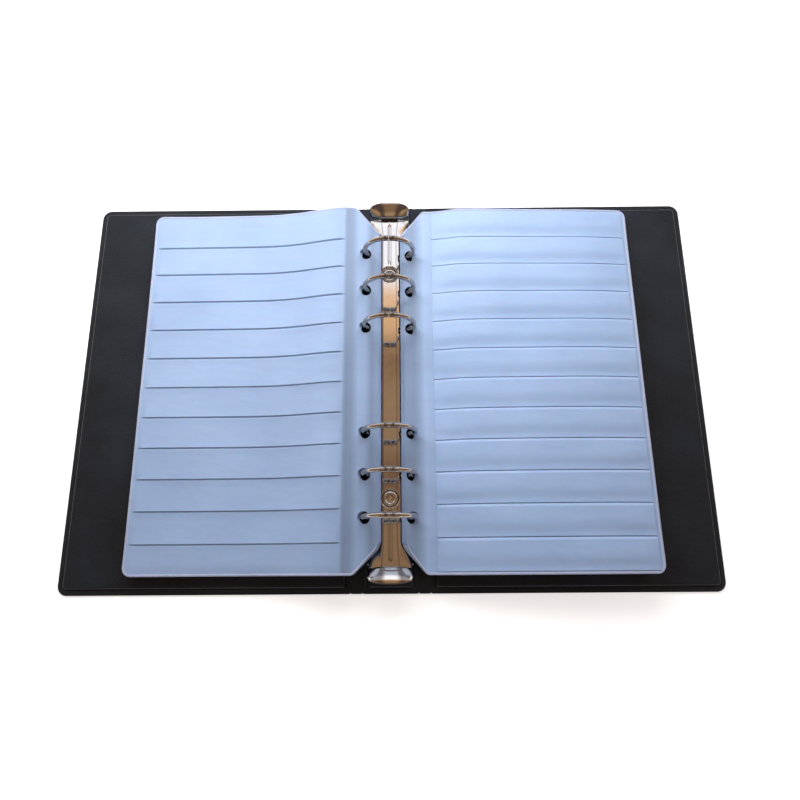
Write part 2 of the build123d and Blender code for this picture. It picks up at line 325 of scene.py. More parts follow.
def joined_stations(*runs):
    """Several runs of stations as one rising list, without repeats."""
    stations = sorted(x for run in runs for x in run)
    kept = [stations[0]]
    for x in stations[1:]:
        if x - kept[-1] > 0.02:
            kept.append(x)
    return kept


def slow_wave(x, y, lengths, sample):
    """Smooth unevenness, from about -1 to 1. Each sample number gives another pattern."""
    return noise.noise(Vector((x / lengths[0], y / lengths[1], sample)))


def turns(steps):
    """The angles of a full turn, in even steps."""
    return [2 * math.pi * k / steps for k in range(steps)]


def mesh_of(name, shell):
    mesh = bpy.data.meshes.new(name)
    shell.to_mesh(mesh)
    shell.free()
    return mesh


def new_object(name, mesh, material):
    mesh.materials.append(material)
    mesh.shade_smooth()
    mesh.set_sharp_from_angle(angle=SHARP_ANGLE)
    piece = bpy.data.objects.new(name, mesh)
    scene.collection.objects.link(piece)
    return piece


def mesh_from(name, points, faces, material):
    """An object from points in millimetres, with its faces all turned the same way."""
    shell = bmesh.new()
    made = [shell.verts.new([c * MM for c in p]) for p in points]
    for face in faces:
        shell.faces.new([made[k] for k in face])
    bmesh.ops.recalc_face_normals(shell, faces=shell.faces)
    return new_object(name, mesh_of(name, shell), material)


def slab(name, xs, ys, place, material):
    """A closed slab over a grid: place(x, y) gives the top point and the bottom point."""
    across = len(ys)
    tops = []
    bottoms = []
    for x in xs:
        for y in ys:
            top, bottom = place(x, y)
            tops.append(top)
            bottoms.append(bottom)
    count = len(tops)
    faces = []
    for i in range(len(xs) - 1):
        for j in range(across - 1):
            a = i * across + j
            b = a + across
            faces.append((a, b, b + 1, a + 1))
            faces.append((count + a, count + a + 1, count + b + 1, count + b))
    rim = [(k, k + 1) for k in range(across - 1)]
    rim += [(k * across + across - 1, (k + 1) * across + across - 1) for k in range(len(xs) - 1)]
    start = (len(xs) - 1) * across
    rim += [(start + k + 1, start + k) for k in range(across - 1)]
    rim += [((k + 1) * across, k * across) for k in range(len(xs) - 1)]
    faces += [(a, b, count + b, count + a) for a, b in rim]
    return mesh_from(name, tops + bottoms, faces, material)


def tube(name, rings, material, closed=False):
    """A solid through a list of rings of points, with flat ends unless it closes on itself."""
    count = len(rings[0])
    points = [p for ring in rings for p in ring]
    faces = []
    for i in range(len(rings) - (0 if closed else 1)):
        start = i * count
        after = ((i + 1) % len(rings)) * count
        for k in range(count):
            n = (k + 1) % count
            faces.append((start + k, start + n, after + n, after + k))
    if not closed:
        faces.append(tuple(range(count)))
        faces.append(tuple(range((len(rings) - 1) * count, len(rings) * count)))
    return mesh_from(name, points, faces, material)


def lathe(name, outline, x, y, material, steps=48):
    """A turned piece about an upright axis, from a closed outline of (radius, height)."""
    rings = [[(x + r * math.cos(a), y + r * math.sin(a), z) for r, z in outline] for a in turns(steps)]
    return tube(name, rings, material, closed=True)


def rod(name, radius, start, end, material, steps=32):
    axis = Vector(end) - Vector(start)
    side = axis.orthogonal().normalized()
    other = axis.normalized().cross(side)
    rings = []
    for place in (Vector(start), Vector(end)):
        ring = []
        for angle in turns(steps):
            ring.append(place + side * radius * math.cos(angle) + other * radius * math.sin(angle))
        rings.append(ring)
    return tube(name, rings, material)


def bake_modifiers(piece):
    """Leaves the piece as the plain mesh that its modifiers give."""
    graph = bpy.context.evaluated_depsgraph_get()
    mesh = bpy.data.meshes.new_from_object(piece.evaluated_get(graph))
    piece.modifiers.clear()
    piece.data = mesh
    mesh.shade_smooth()
    mesh.set_sharp_from_angle(angle=SHARP_ANGLE)


def combine(piece, others, operation):
    """Cuts the other pieces out of one, or joins them to it, and removes them."""
    for other in others:
        step = piece.modifiers.new("combine", "BOOLEAN")
        step.operation = operation
        step.solver = "EXACT"
        step.object = other
    bake_modifiers(piece)
    for other in others:
        bpy.data.objects.remove(other)


def merged(name, pieces, material):
    """Several separate closed pieces as one object."""
    whole = bmesh.new()
    for piece in pieces:
        whole.from_mesh(piece.data)
        bpy.data.objects.remove(piece)
    return new_object(name, mesh_of(name, whole), material)


def take_over(piece, body, slot, *replaced):
    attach(piece, body)
    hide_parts(*replaced)


# -------- materials


def fill_band(band, stops):
    """Sets a colour band's stops, each (position, colour)."""
    while len(band.elements) < len(stops):
        band.elements.new(0.5)
    for element, (place, colour) in zip(band.elements, stops):
        element.position = place
        element.color = (*colour, 1.0)


class Nodes:
    """A node tree, with short ways to add the nodes used here."""

    def __init__(self, tree):
        self.tree = tree

    def link(self, source, target):
        self.tree.links.new(source, target)

    def add(self, kind):
        return self.tree.nodes.new("ShaderNode" + kind)

    def ramp(self, source, low, high, start=0.0, end=1.0):
        node = self.add("MapRange")
        node.inputs["From Min"].default_value = start
        node.inputs["From Max"].default_value = end
        node.inputs["To Min"].default_value = low
        node.inputs["To Max"].default_value = high
        self.link(source, node.inputs["Value"])
        return node.outputs["Result"]

    def colours(self, source, stops):
        node = self.add("ValToRGB")
        fill_band(node.color_ramp, stops)
        self.link(source, node.inputs["Fac"])
        return node.outputs["Color"]

    def calculate(self, kind, first, second):
        node = self.add("Math")
        node.operation = kind
        self.link(first, node.inputs[0])
        if isinstance(second, float):
            node.inputs[1].default_value = second
        else:
            self.link(second, node.inputs[1])
        return node.outputs["Value"]

    def mixed(self, kind, first, second):
        node = self.add("Mix")
        node.data_type = "RGBA"
        node.blend_type = kind
        node.inputs["Factor"].default_value = 1.0
        self.link(first, node.inputs["A"])
        self.link(second, node.inputs["B"])
        return node.outputs["Result"]

    def split(self, vector):
        node = self.add("SeparateXYZ")
        self.link(vector, node.inputs["Vector"])
        return node.outputs["X"], node.outputs["Y"], node.outputs["Z"]


class Recipe(Nodes):
    """A material's node tree."""

    def __init__(self, name):
        self.material = bpy.data.materials.new(name)
        self.material.use_nodes = True
        super().__init__(self.material.node_tree)
        self.shader = self.tree.nodes["Principled BSDF"]
        self.place = self.add("TexCoord").outputs["Object"]

    def set(self, **values):
        for key, value in values.items():
            self.shader.inputs[key.replace("_", " ")].default_value = value

    def feed(self, **sources):
        for key, source in sources.items():
            self.link(source, self.shader.inputs[key.replace("_", " ")])

    def stretched(self, x, y, z):
        node = self.add("Mapping")
        node.inputs["Scale"].default_value = (x, y, z)
        self.link(self.place, node.inputs["Vector"])
        return node.outputs["Vector"]

    def noise(self, scale, detail, where=None):
        node = self.add("TexNoise")
        node.inputs["Scale"].default_value = scale
        node.inputs["Detail"].default_value = detail
        node.inputs["Roughness"].default_value = 0.55
        self.link(where or self.place, node.inputs["Vector"])
        return node.outputs["Fac"]

    def cells(self, scale, feature):
        node = self.add("TexVoronoi")
        node.feature = feature
        node.inputs["Scale"].default_value = scale
        self.link(self.place, node.inputs["Vector"])
        return node.outputs["Distance"]

    def distance_from_spine(self):
        """How far out along the page a point is, from 0 at the spine to 1 at PAGE_REACH."""
        across = self.split(self.place)[0]
        metres = self.calculate("ABSOLUTE", across, 0.0)
        return self.calculate("DIVIDE", metres, PAGE_REACH * MM)

    def bump(self, source, strength, distance, before=None):
        node = self.add("Bump")
        node.inputs["Strength"].default_value = strength
        node.inputs["Distance"].default_value = distance
        self.link(source, node.inputs["Height"])
        if before is not None:
            self.link(before, node.inputs["Normal"])
        self.feed(Normal=node.outputs["Normal"])
        return node.outputs["Normal"]


def leather_grain(name, dark, light, rough):
    """Embossed vinyl: fine pebbles with creases between them, over slow unevenness."""
    made = Recipe(name)
    tone = made.noise(38.0, 5.0)
    made.feed(Base_Color=made.colours(tone, [(0.3, dark), (0.7, light)]))
    pebbles = made.cells(1500.0, "SMOOTH_F1")
    creases = made.cells(620.0, "DISTANCE_TO_EDGE")
    creases = made.ramp(creases, 0.0, 1.0, 0.0, 0.12)
    grain = made.calculate("ADD", made.calculate("MULTIPLY", pebbles, 0.6), creases)
    made.feed(Roughness=made.ramp(made.noise(900.0, 2.0), rough - 0.07, rough + 0.09))
    slow = made.bump(made.noise(55.0, 3.0), 0.35, 0.0011)
    made.bump(grain, 0.34, 0.00022, slow)
    made.set(Specular_IOR_Level=0.3)
    return made.material


def page_vinyl(name, deep, pale, rough, across=None):
    """Milky soft vinyl: cloudy colour, a silky face and shallow wrinkles.

    across lists (distance from the spine, shade): the clear margin is darker than the pockets, partly as
    the dark cover shows through and partly as painted shade, and a painted highlight runs along the fold.
    """
    made = Recipe(name)
    colour = made.colours(made.noise(26.0, 4.0), [(0.25, deep), (0.75, pale)])
    if across:
        stops = [(distance / PAGE_REACH, (shade, shade, shade)) for distance, shade in across]
        colour = made.mixed("MULTIPLY", colour, made.colours(made.distance_from_spine(), stops))
    made.feed(Base_Color=colour)
    made.feed(Roughness=made.ramp(made.noise(160.0, 3.0), rough - 0.05, rough + 0.07))
    wrinkles = made.noise(30.0, 3.0, made.stretched(1.0, 2.6, 1.0))
    broad = made.bump(wrinkles, 0.3, 0.0016)
    fine = made.noise(240.0, 3.0, made.stretched(0.3, 1.0, 1.0))
    creased = made.bump(fine, 0.12, 0.0003, broad)
    frost = made.noise(1400.0, 2.0)
    made.bump(frost, 0.1, 0.00008, creased)
    made.set(IOR=1.5, Subsurface_Weight=0.2, Subsurface_Scale=0.002)
    made.set(Coat_Weight=0.15, Coat_Roughness=0.3)
    return made.material


def plated(name, colour, rough):
    """Bright plating: faint polishing lines along the part and a little haze."""
    made = Recipe(name)
    haze = made.noise(300.0, 3.0)
    made.feed(Base_Color=made.colours(haze, [(0.3, [c * 0.93 for c in colour]), (0.7, colour)]))
    made.feed(Roughness=made.ramp(haze, rough * 0.6, rough * 1.5))
    lines = made.noise(900.0, 2.0, made.stretched(1.0, 0.05, 1.0))
    made.bump(lines, 0.03, 0.00002)
    made.set(Metallic=1.0)
    return made.material


def board_stock(name):
    made = Recipe(name)
    fibres = made.noise(700.0, 5.0, made.stretched(1.0, 0.25, 1.0))
    stops = [(0.3, (0.24, 0.23, 0.21)), (0.7, (0.4, 0.385, 0.35))]
    made.feed(Base_Color=made.colours(fibres, stops))
    made.bump(fibres, 0.3, 0.0002)
    made.set(Roughness=0.9)
    return made.material


SHEET_DEEP = (0.32, 0.44, 0.67)
SHEET_PALE = (0.38, 0.51, 0.76)

OUTSIDE = leather_grain("outside_vinyl", (0.008, 0.0085, 0.010), (0.014, 0.015, 0.018), 0.42)
# The lining's lighter tone is made bluer as a painted sheen of the window.
INSIDE = leather_grain("lining_vinyl", (0.009, 0.011, 0.015), (0.016, 0.021, 0.030), 0.38)
LEFT_SHEET_VINYL = page_vinyl("left_sheet_vinyl", SHEET_DEEP, SHEET_PALE, 0.36, LEFT_TONES_AND_PAINTED_LIGHT)
RIGHT_SHEET_VINYL = page_vinyl("right_sheet_vinyl", SHEET_DEEP, SHEET_PALE, 0.36, RIGHT_TONES_AND_PAINTED_LIGHT)
STRIP_VINYL = page_vinyl("strip_vinyl", (0.35, 0.49, 0.75), (0.42, 0.56, 0.84), 0.32)
WELD_VINYL = page_vinyl("weld_vinyl", (0.42, 0.46, 0.64), (0.50, 0.54, 0.74), 0.26)
CHROME = plated("ring_chrome", (0.68, 0.65, 0.63), 0.08)
# The half rings use a darker copy of the ring chrome: painted shade that darkens the wires' reflections.
SHADED_RING_CHROME = plated("ring_wire", (0.5, 0.45, 0.42), 0.07)
NICKEL = plated("eyelet_nickel", (0.78, 0.76, 0.73), 0.14)
STEEL = plated("plain_steel", (0.12, 0.115, 0.11), 0.4)
STEEL_INSIDE = plated("dull_inside", (0.06, 0.055, 0.05), 0.45)
BOARD = board_stock("grey_board")


def dress(name, material):
    piece = nodes[name]
    piece.data.materials.clear()
    piece.data.materials.append(material)


# -------- cover


def edge_distance(x, y, inner, outer, corners):
    """How far a point of a panel is from the nearest of its edges, round its corners too."""
    left = x - inner
    right = outer - x
    side = COVER_HALF - abs(y)
    for across, radius in zip((left, right), corners):
        if across < radius and side < radius:
            return radius - math.hypot(radius - across, radius - side)
    return min(left, right, side)


def rounded(x, y, inner, outer, half, corners):
    """Moves the points of a square grid so that the panel's corners are round."""
    side = half - abs(y)
    for edge, turn, radius in zip((inner, outer), (1, -1), corners):
        across = (x - edge) * turn
        if radius > 0 and across < radius and side < radius:
            p = 1 - across / radius
            q = 1 - side / radius
            across = radius * (1 - p * math.sqrt(1 - q * q / 2))
            side = radius * (1 - q * math.sqrt(1 - p * p / 2))
            x = edge + turn * across
            y = math.copysign(half - side, y)
    return x, y


def panel_grid(inner, outer):
    reach = EDGE_STEPS[-1]
    middle = spread(inner + reach, outer - reach, max(3, round((outer - inner) / PANEL_STEP)))
    middle_rows = spread(-COVER_HALF + reach, COVER_HALF - reach, PANEL_ROWS)
    xs = joined_stations([inner + f for f in EDGE_STEPS], [outer - f for f in EDGE_STEPS], middle)
    side = [COVER_HALF - f for f in EDGE_STEPS]
    ys = joined_stations([-y for y in side], side, middle_rows)
    return xs, ys


def lining_heights(away, soft_edge, weld, sway):
    """The top and bottom of the lining, which is welded down around the board."""
    from_weld = away - WELD_LINE
    rise = smoothstep(from_weld / BOARD_RISE)
    under_rise = smoothstep((from_weld - UNDER_DELAY) / UNDER_RISE)
    top = EDGE_THICK + (COVER_TOP - EDGE_THICK) * rise - soft_edge - weld + sway
    bottom = SKIN + (COVER_TOP - LINING - SKIN) * under_rise + LINING_GAP + min(sway, 0.0) * rise
    return top, bottom


def cover_panel(name, inner, outer, corners, side, lining, wave):
    """The skin or the lining of one panel."""
    xs, ys = panel_grid(inner, outer)

    def place(x, y):
        x, y = rounded(x, y, inner, outer, COVER_HALF, corners)
        away = edge_distance(x, y, inner, outer, corners)
        soft_edge = EDGE_ROUND * (1 - smoothstep(away / EDGE_REACH))
        weld = WELD_DEPTH * math.exp(-(((away - WELD_LINE) / WELD_HALF) ** 2))
        if lining:
            sway = wave * slow_wave(x, y, COVER_WAVE_LENGTHS, side * COVER_SAMPLE)
            sway *= smoothstep(away / WAVE_FADE - WAVE_DELAY)
            top, bottom = lining_heights(away, soft_edge, weld, sway)
        else:
            top = SKIN
            bottom = soft_edge * OUTSIDE_ROUND + weld * OUTSIDE_WELD
        return (side * x, y, top), (side * x, y, bottom)

    return slab(name, xs, ys, place, INSIDE if lining else OUTSIDE)


def make_covers():
    corners = (PANEL_CORNER, COVER_CORNER)
    for side, word in ((-1, "left"), (1, "right")):
        body = f"{word}_cover"
        outside = cover_panel(f"{body}_outside", PANEL_START, COVER_OUTER, corners, side, False, 0.0)
        take_over(outside, body, "cover_vinyl", f"{body}_skin")
        inside = cover_panel(f"{body}_inside", PANEL_START, COVER_OUTER, corners, side, True, COVER_WAVE)
        take_over(inside, body, "lining_vinyl", f"{body}_liner")
        dress(f"{body}_board", BOARD)


def make_spine_case():
    corners = (PANEL_CORNER, PANEL_CORNER)
    outside = cover_panel("spine_outside", -SPINE_HALF, SPINE_HALF, corners, 1, False, 0.0)
    inside = cover_panel("spine_inside", -SPINE_HALF, SPINE_HALF, corners, 1, True, 0.0)
    feet = []
    tubes = []
    for y in (-EYELET_Y, EYELET_Y):
        feet.append(rod("foot_hole", FOOT_HOLE, (0, y, -1), (0, y, COVER_TOP), OUTSIDE))
        tubes.append(rod("tube_hole", TUBE_HOLE, (0, y, -1), (0, y, COVER_TOP + 1), OUTSIDE))
    combine(outside, feet, "DIFFERENCE")
    combine(inside, tubes, "DIFFERENCE")
    take_over(outside, "spine", "cover_vinyl", "spine_skin")
    take_over(inside, "spine", "lining_vinyl", "spine_liner")
    dress("spine_board", BOARD)


def make_hinge(side, word):
    """The bare vinyl between two panels, with a shallow crease along its middle."""
    centre = (SPINE_HALF + PANEL_START) / 2
    half_gap = (PANEL_START - SPINE_HALF) / 2
    xs = spread(SPINE_HALF - HINGE_OVERLAP, PANEL_START + HINGE_OVERLAP, 15)
    ys = spread(-COVER_HALF + HINGE_SHORT, COVER_HALF - HINGE_SHORT, 97)

    def place(x, y):
        t = (x - centre) / half_gap
        dip = HINGE_DIP * (1 - t * t) + CREASE_DEPTH * math.exp(-((t / CREASE_WIDTH) ** 2))
        end = HINGE_END_ROUND * (1 - smoothstep((COVER_HALF - abs(y)) / EDGE_REACH))
        top = EDGE_THICK - HINGE_DROP - dip - end
        bottom = HINGE_LIFT + UNDER_DIP * dip + UNDER_END * end
        return (side * x, y, top), (side * x, y, bottom)

    web = slab(f"{word}_hinge", xs, ys, place, INSIDE)
    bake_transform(web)
    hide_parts(f"{word}_hinge_web")


# -------- ring mechanism


def housing_section(flare):
    """The right half of the housing's outside, from its foot up to the middle of its top."""
    foot = FOOT_HALF + flare
    shoulder = SHOULDER_HALF + flare * SHOULDER_FLARE
    points = [(foot, COVER_TOP + z) for z in FOOT_HEIGHTS]
    points += [(foot + dx, COVER_TOP + z) for dx, z in KNEE]
    start_x, start_z = points[-1]
    flank_top = HOUSING_TOP + SHOULDER_TURN[0][1]
    for t in (0.25, 0.5, 0.75):
        points.append((start_x + (shoulder - start_x) * t, start_z + (flank_top - start_z) * t))
    points += [(shoulder + dx, HOUSING_TOP + dz) for dx, dz in SHOULDER_TURN]
    flat = shoulder + SHOULDER_TURN[-1][0]
    points += [(x, HOUSING_TOP) for x in spread(flat - FLAT_INSET, RIB_HALF, 8)]
    points += [(x, HOUSING_TOP) for x in spread(RIB_HALF, 0.0, 9)[1:]]
    return points


def housing_point(x, y, z):
    """Presses the dimples, the end ribs and the crown into a point of the housing's top."""
    if z > HOUSING_TOP - TOP_BAND:
        away = min(math.hypot(x, y - EYELET_Y), math.hypot(x, y + EYELET_Y))
        z -= DIMPLE_DEPTH * smoothstep((DIMPLE + DIMPLE_RIM - away) / DIMPLE_SLOPE)
        rib = smoothstep((abs(y) - RIB_START) / RIB_FADE)
        rib *= smoothstep((HOUSING_END - RIB_END_GAP - abs(y)) / RIB_FADE)
        across = 1 - smoothstep(abs(x) / RIB_HALF)
        z -= RIB_DEPTH * rib * across
        z += CROWN * math.cos(min(abs(x) / CROWN_HALF, 1.0) * math.pi / 2) - CROWN
    return x, y, z


def housing_stations():
    """Places along the housing, closer together at the dimples and the flared ends."""
    near_eyelets = spread(EYELET_Y - DIMPLE_SPAN, EYELET_Y + DIMPLE_SPAN, 29)
    long_run = spread(0.0, HOUSING_END, 58)
    end_run = spread(HOUSING_END - FLARE_LENGTH, HOUSING_END, 14)
    half_ys = joined_stations(near_eyelets, long_run, end_run)
    return joined_stations([-y for y in half_ys], half_ys)


def housing_shell():
    """The outside of the housing, open underneath."""
    start = HOUSING_END - FLARE_LENGTH
    rings = []
    for y in housing_stations():
        flare = FLARE * smoothstep((abs(y) - start) / FLARE_LENGTH) ** FLARE_POWER
        right = housing_section(flare)
        outline = right + [(-x, z) for x, z in reversed(right[:-1])]
        rings.append([housing_point(x, y, z) for x, z in outline])
    count = len(rings[0])
    points = [p for ring in rings for p in ring]
    faces = []
    for i in range(len(rings) - 1):
        for k in range(count - 1):
            a = i * count + k
            faces.append((a, a + 1, a + 1 + count, a + count))
    housing = mesh_from("mechanism_cover", points, faces, CHROME)
    turn_upwards(housing)
    return housing


def turn_upwards(piece):
    """Turns an open shell so that its middle faces up."""
    mesh = piece.data
    top = max(mesh.polygons, key=lambda face: face.center.z)
    if top.normal.z < 0:
        mesh.flip_normals()


def thicken(housing):
    """Gives the shell the sheet metal's thickness, with a dull inside."""
    thick = housing.modifiers.new("thick", "SOLIDIFY")
    thick.thickness = METAL * MM
    thick.offset = -1.0
    thick.material_offset = 1
    thick.material_offset_rim = 0
    housing.data.materials.append(STEEL_INSIDE)
    bake_modifiers(housing)


def housing_cutters():
    """The slots for the rings and the holes for the eyelets and the lever pins."""
    cutters = [slot_cutter(y, side) for y in RING_YS for side in (-1, 1)]
    for y in (-EYELET_Y, EYELET_Y):
        cutters.append(rod("eyelet_hole", HOUSING_HOLE, (0, y, COVER_TOP), (0, y, HOUSING_TOP + 1), CHROME))
    for y in (-LEVER_Y, LEVER_Y):
        cutters.append(pin_rod("pin_hole", PIN_HOLE, 12, y))
    return cutters


def make_housing():
    housing = housing_shell()
    thicken(housing)
    combine(housing, housing_cutters(), "DIFFERENCE")
    soft_edges = housing.modifiers.new("soft_edges", "BEVEL")
    soft_edges.width = SHEET_EDGE * MM
    soft_edges.segments = 2
    soft_edges.angle_limit = math.radians(50)
    bake_modifiers(housing)
    take_over(housing, "spine", "ring_chrome", "ring_housing")


def slot_cutter(y, side):
    """The oval that a half ring comes out through, in one flank of the housing."""
    low = COVER_TOP + SLOT_LOW
    high = HOUSING_TOP - SLOT_TOP_GAP
    half_height = (high - low) / 2
    middle = (high + low) / 2
    straight = SLOT_HALF_LENGTH - half_height
    outline = []
    for angle in turns(28):
        shift = straight if math.cos(angle) >= 0 else -straight
        outline.append((y + shift + half_height * math.cos(angle), middle + half_height * math.sin(angle)))
    rings = [[(side * x, b, c) for b, c in outline] for x in SLOT_REACH]
    return tube("slot", rings, CHROME)


def ring_wire_radius(angle):
    """The wire's radius: full next to the joint, with a chamfer at its face, and less below."""
    radius = WIRE * (WIRE_SHARE + (1 - WIRE_SHARE) * smoothstep((COLLAR_END - angle) / COLLAR_FADE))
    return radius - JOINT_CHAMFER * (1 - smoothstep((angle - JOINT_GAP) / CHAMFER_ANGLE))


def half_ring(side, word, number, y):
    """One half of a ring, with the elbow and the stub that stands in the toggle plate."""
    end_angle = math.pi / 2 + math.acos(STUB_X / RING_RADIUS)
    joint = spread(JOINT_GAP, JOINT_END, 4)
    collar = spread(JOINT_END, COLLAR_RUN, 12)
    rings = []
    for angle in joined_stations(joint, collar, spread(COLLAR_RUN, end_angle, 34)):
        radius = ring_wire_radius(angle)
        ring = []
        for turn in turns(24):
            reach = RING_RADIUS + radius * math.cos(turn)
            x = reach * math.sin(angle)
            z = RING_Z + reach * math.cos(angle)
            ring.append((side * x, y + radius * math.sin(turn), z))
        rings.append(ring)
    arc = tube(f"{word}_ring_{number}", rings, SHADED_RING_CHROME)
    elbow_z = RING_Z + RING_RADIUS * math.cos(end_angle)
    ball = ball_at("elbow", WIRE * ELBOW_SHARE, (side * STUB_X, y, elbow_z))
    stub = rod("stub", STUB_RADIUS, (side * STUB_X, y, STUB_BOTTOM), (side * STUB_X, y, elbow_z), SHADED_RING_CHROME)
    combine(arc, [ball, stub], "UNION")
    take_over(arc, f"{word}_rings", "ring_chrome", f"{word}_half_ring_{number}")


def ball_at(name, radius, centre):
    shell = bmesh.new()
    bmesh.ops.create_icosphere(shell, subdivisions=3, radius=radius * MM)
    bmesh.ops.translate(shell, verts=shell.verts, vec=Vector(centre) * MM)
    return new_object(name, mesh_of(name, shell), SHADED_RING_CHROME)


def eyelet(word, y):
    """A hollow rivet with a rolled head and a rolled foot."""
    floor = HOUSING_TOP - DIMPLE_DEPTH
    outline = EYELET_FOOT + [(radius, floor + z) for radius, z in EYELET_HEAD]
    piece = lathe(f"{word}_rivet", outline, 0, y, NICKEL)
    take_over(piece, "spine", "eyelet_nickel", f"{word}_eyelet")


def lever_pin(word, y):
    """A pin through the lever, with a domed tip at each end."""
    half = [(PIN_REACH - back, radius) for radius, back in PIN_DOME]
    half.append((PIN_REACH - PIN_SHANK, PIN_RADIUS))
    rings = []
    for x, radius in half + [(-x, radius) for x, radius in reversed(half)]:
        ring = []
        for angle in turns(24):
            ring.append((x, y + radius * math.cos(angle), LEVER_Z + radius * math.sin(angle)))
        rings.append(ring)
    piece = tube(f"{word}_pin", rings, CHROME)
    take_over(piece, "spine", "ring_chrome", f"{word}_lever_pin")


def pin_rod(name, radius, half, y):
    return rod(name, radius, (-half, y, LEVER_Z), (half, y, LEVER_Z), CHROME)


def lever_pad(word, side):
    """The lever's curved pad, whose ends droop. In it, s runs across and t outwards."""

    def surface(s, t):
        bow = s * s
        length = PAD_END_LENGTH + PAD_BULGE * (1 - abs(s) ** PAD_ROUNDNESS) ** 0.5
        middle = PAD_MIDDLE + PAD_BOW * bow
        rise = PAD_RISE * (1 - (1 - t) ** PAD_RISE_POWER)
        droop = (PAD_DROOP - PAD_DROOP_FALL * t) * bow
        y = side * (LEVER_Y + middle + (t - 0.5) * length)
        return Vector((PAD_HALF * s, y, LEVER_Z + PAD_HEIGHT + rise - droop))

    def place(s, t):
        here = surface(s, t)
        along = surface(s, min(t + 0.03, 1.0)) - surface(s, max(t - 0.03, 0.0))
        sideways = surface(min(s + 0.04, 1.0), t) - surface(max(s - 0.04, -1.0), t)
        normal = along.cross(sideways).normalized()
        thin = PAD_HALF_THICK * (1 - PAD_THINNING * smoothstep((abs(s) - 0.88) / 0.12))
        thin *= 1 - PAD_THINNING * smoothstep((abs(t - 0.5) - 0.42) / 0.08)
        return tuple(here + normal * thin), tuple(here - normal * thin)

    across = [math.sin(angle) for angle in spread(-math.pi / 2, math.pi / 2, 49)]
    lengths = joined_stations(spread(0, 0.12, 5), spread(0.12, 0.88, 15), spread(0.88, 1.0, 5))
    return slab(f"{word}_thumb_lever", across, lengths, place, CHROME)


def lever(word, side):
    """A pressed thumb lever: a pad on an arm with a rolled knuckle and a tongue."""
    tab = lever_pad(word, side)
    knuckle = pin_rod("knuckle", KNUCKLE_RADIUS, KNUCKLE_HALF, side * LEVER_Y)
    arm = arm_piece(side, ARM, ARM_HALF, ARM_THICK)
    tongue = arm_piece(side, TONGUE, TONGUE_HALF, TONGUE_THICK)
    combine(tab, [arm, knuckle, tongue], "UNION")
    bore = pin_rod("bore", LEVER_BORE, BORE_HALF, side * LEVER_Y)
    combine(tab, [bore], "DIFFERENCE")
    take_over(tab, f"{word}_lever", "ring_chrome", f"{word}_lever")


def arm_piece(side, path, half, thick):
    """A bar of even thickness across X, along a path of (distance from the pin, height)."""
    rings = []
    for k, (dy, dz) in enumerate(path):
        before = path[max(k - 1, 0)]
        after = path[min(k + 1, len(path) - 1)]
        along = Vector((0, after[0] - before[0], after[1] - before[1])).normalized()
        normal = Vector((0, -along.z, along.y)) * (thick / 2)
        ring = []
        for x, turn in ((-half, 1), (half, 1), (half, -1), (-half, -1)):
            ring.append((x, side * (LEVER_Y + dy + turn * normal.y), LEVER_Z + dz + turn * normal.z))
        rings.append(ring)
    return tube("arm", rings, CHROME)


def make_mechanism():
    make_housing()
    for side, word in ((-1, "left"), (1, "right")):
        dress(f"{word}_toggle_plate", STEEL)
        for number, y in enumerate(RING_YS, start=1):
            half_ring(side, word, number, y)
    for side, word in ((-1, "lower"), (1, "upper")):
        eyelet(word, side * EYELET_Y)
        lever_pin(word, side * LEVER_Y)
        lever(word, side)


# -------- pages


def smooth_height(stations, x):
    """A smooth curve through a few stations, each (distance, height)."""
    last = len(stations) - 1

    def slope(i):
        before = stations[max(i - 1, 0)]
        after = stations[min(i + 1, last)]
        return (after[1] - before[1]) / (after[0] - before[0])

    i = max(k for k in range(last) if stations[k][0] <= x or k == 0)
    x0, z0 = stations[i]
    x1, z1 = stations[i + 1]
    span = x1 - x0
    t = (x - x0) / span
    rise = (3 - 2 * t) * t * t
    bend_in = t * (1 - t) ** 2 * span * slope(i)
    bend_out = t * t * (t - 1) * span * slope(i + 1)
    return z0 + (z1 - z0) * rise + bend_in + bend_out


